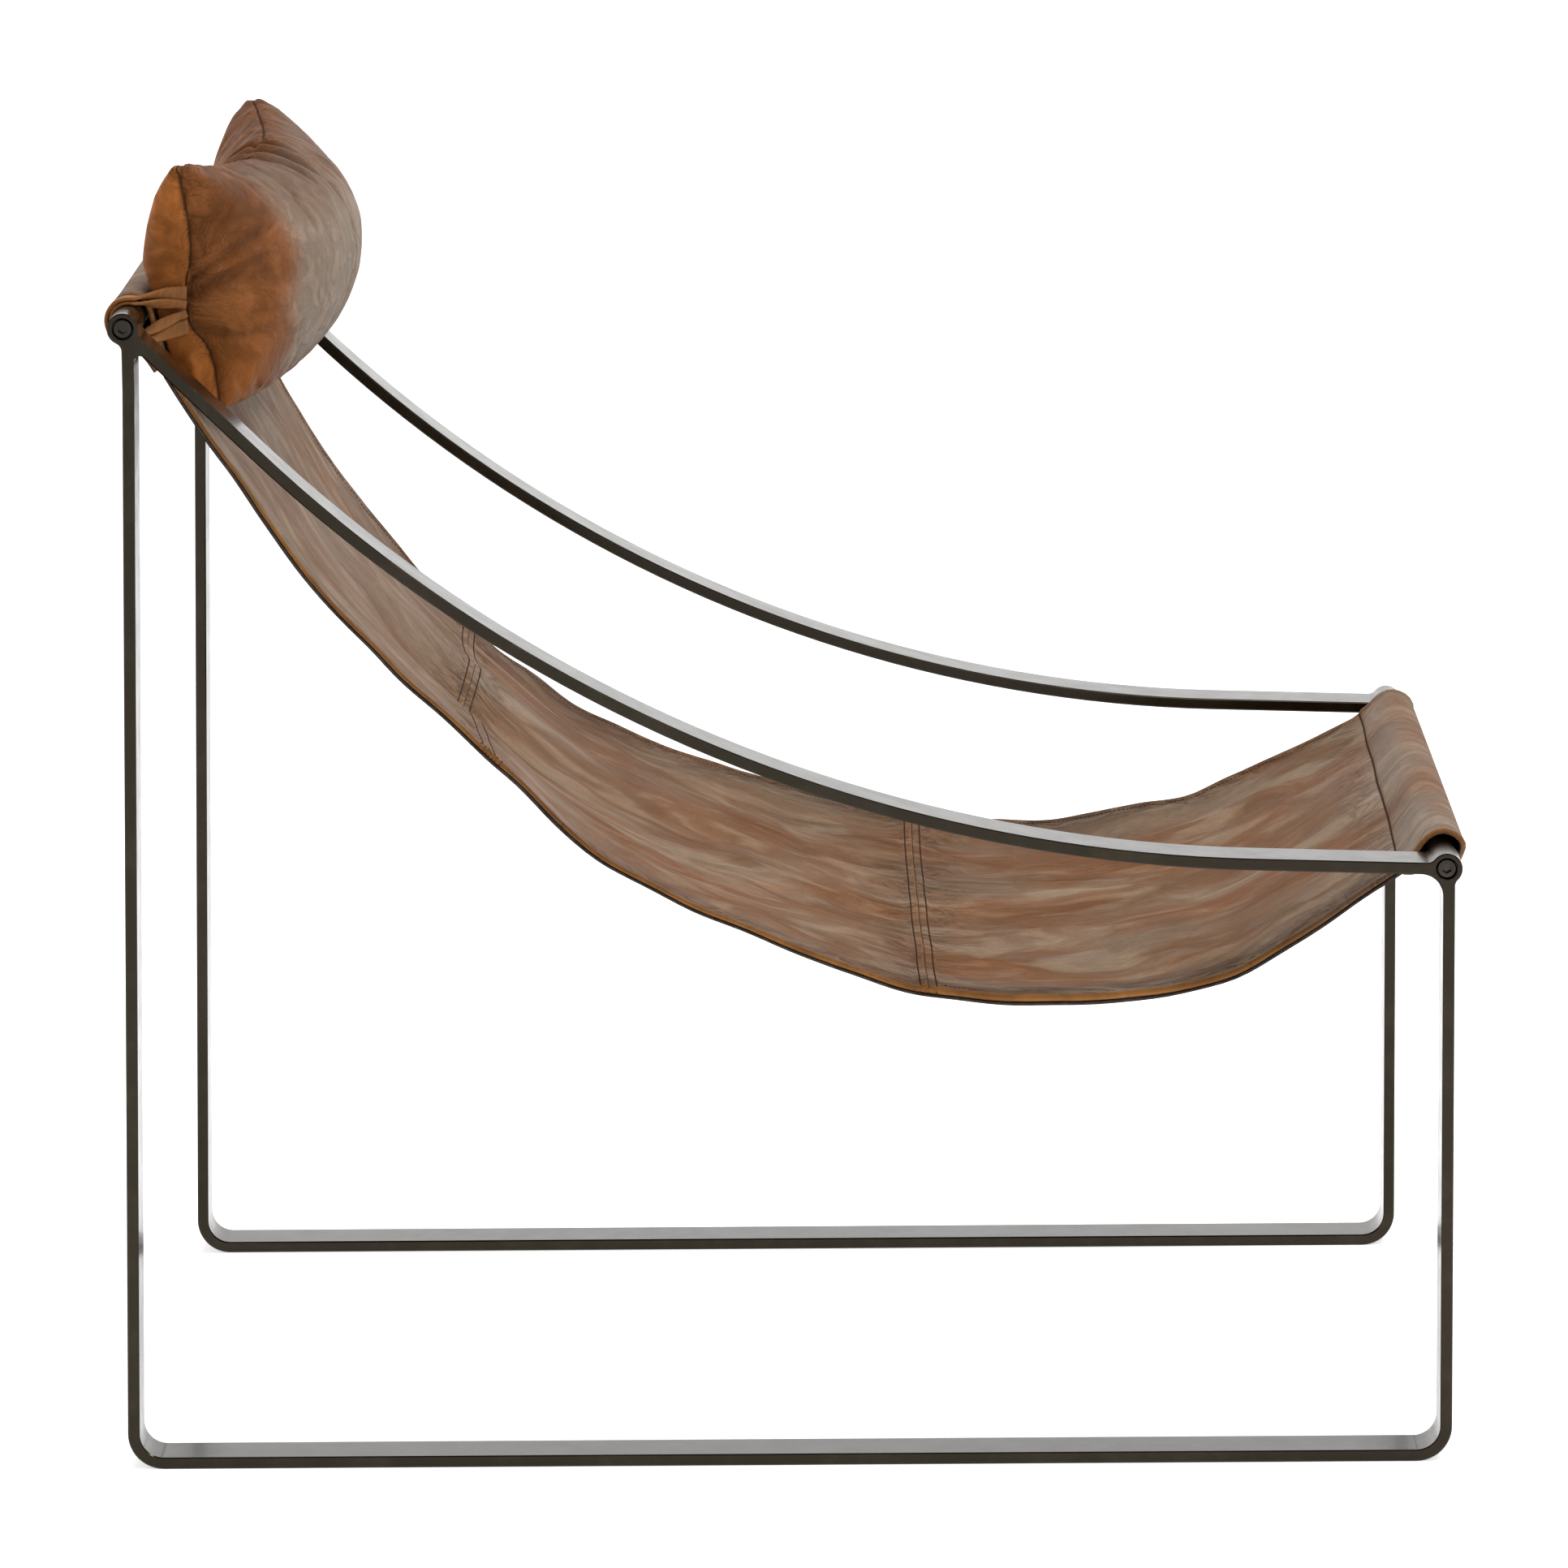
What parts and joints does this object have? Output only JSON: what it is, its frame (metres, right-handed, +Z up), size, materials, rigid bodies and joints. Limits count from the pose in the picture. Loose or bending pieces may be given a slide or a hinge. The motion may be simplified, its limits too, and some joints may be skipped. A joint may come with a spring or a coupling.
{
  "type": "sling lounge chair",
  "caption": "Low lounge chair with a leather sling hung between cross tubes on flat-bar side frames, with swept arms and a strapped head pillow.",
  "frame": {"origin": "on the floor, halfway between the head and knee tubes and the two side frames", "axes": "+X to the front of the chair, +Y to the sitter's left, +Z up"},
  "size_m": [0.9072, 0.66, 0.8752],
  "materials": {
    "frame_metal": "dark bronzed satin, worn lighter along its edges",
    "screw_steel": "blackened",
    "plug_steel": "plain turned",
    "hide": "waxed, distressed tan with a grey bloom",
    "lining_hide": "dark suede side",
    "pillow_filling": "soft wadding in a plain case"
  },
  "bodies": {
    "chair": {"right_leg_loop": "frame_metal", "right_arm": "frame_metal", "right_head_eye": "frame_metal", "right_knee_eye": "frame_metal", "right_head_screw": "screw_steel", "right_head_plug": "plug_steel", "right_knee_screw": "screw_steel", "right_knee_plug": "plug_steel", "left_leg_loop": "frame_metal", "left_arm": "frame_metal", "left_head_eye": "frame_metal", "left_knee_eye": "frame_metal", "left_head_screw": "screw_steel", "left_head_plug": "plug_steel", "left_knee_screw": "screw_steel", "left_knee_plug": "plug_steel", "head_tube": "frame_metal", "knee_tube": "frame_metal", "sling_back_panel": "hide", "sling_middle_panel": "hide", "sling_seat_panel": "hide", "sling_lining": "lining_hide"},
    "head_pillow": {"pillow_front_cover": "hide", "pillow_back_cover": "hide", "pillow_insert": "pillow_filling", "right_pillow_strap": "hide", "left_pillow_strap": "hide"}
  },
  "joints": [
    {"name": "pillow_turn", "type": "hinge", "parent": "chair", "child": "head_pillow", "pos_m": [-0.4365, 0, 0.774], "axis": [0, -1, 0], "range_deg": [0, 205]}
  ]
}
